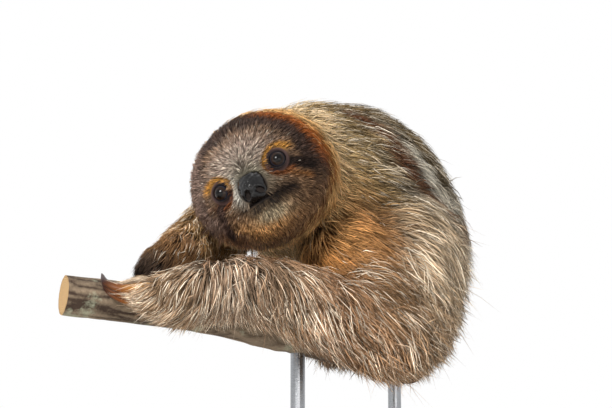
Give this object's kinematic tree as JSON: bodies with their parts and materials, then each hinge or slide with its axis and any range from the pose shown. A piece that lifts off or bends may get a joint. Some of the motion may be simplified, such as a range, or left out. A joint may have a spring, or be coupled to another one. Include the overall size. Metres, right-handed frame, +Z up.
{
  "type": "three-toed sloth",
  "caption": "Still, life-size three-toed sloth lying belly-down along a cut branch, head turned on its folded arm, held by two rods on a flat base.",
  "frame": {"origin": "centre of the display base's underside, on the floor", "axes": "+Z up; the animal's head is towards -Y and its rump towards +Y; the animal's left side is towards +X"},
  "size_m": [0.3271, 0.441, 0.4089],
  "materials": {
    "face_coat": "short fur, dark brown cap, pale forehead, dark eye stripes",
    "body_coat": "long coarse fur, grey-brown with paler bands and golden-brown shoulders",
    "limb_coat": "long coarse fur, brown with pale streaks",
    "nose_skin": "bare skin, black, faintly moist",
    "eye": "clear and glossy, dark brown",
    "claw_horn": "horn, satin, brown to amber, darker at the tip",
    "bark": "rough bark, pale cut ends",
    "base_wood": "dark walnut, satin",
    "rod_steel": "brushed"
  },
  "bodies": {
    "root": {"head": "face_coat", "neck": "body_coat", "trunk": "body_coat", "tail": "body_coat", "nose": "nose_skin", "eye_left": "eye", "eye_right": "eye", "perch": "bark", "stand_base": "base_wood", "stand_rod_front": "rod_steel", "stand_rod_rear": "rod_steel", "upper_arm_left": "limb_coat", "forearm_left": "limb_coat", "hand_left": "limb_coat", "thigh_left": "limb_coat", "shank_left": "limb_coat", "foot_left": "limb_coat", "upper_arm_right": "limb_coat", "forearm_right": "limb_coat", "hand_right": "limb_coat", "thigh_right": "limb_coat", "shank_right": "limb_coat", "foot_right": "limb_coat", "left_hand_claw_1": "claw_horn", "left_hand_claw_2": "claw_horn", "left_hand_claw_3": "claw_horn", "left_foot_claw_1": "claw_horn", "left_foot_claw_2": "claw_horn", "left_foot_claw_3": "claw_horn", "right_hand_claw_1": "claw_horn", "right_hand_claw_2": "claw_horn", "right_hand_claw_3": "claw_horn", "right_foot_claw_1": "claw_horn", "right_foot_claw_2": "claw_horn", "right_foot_claw_3": "claw_horn"}
  },
  "joints": []
}
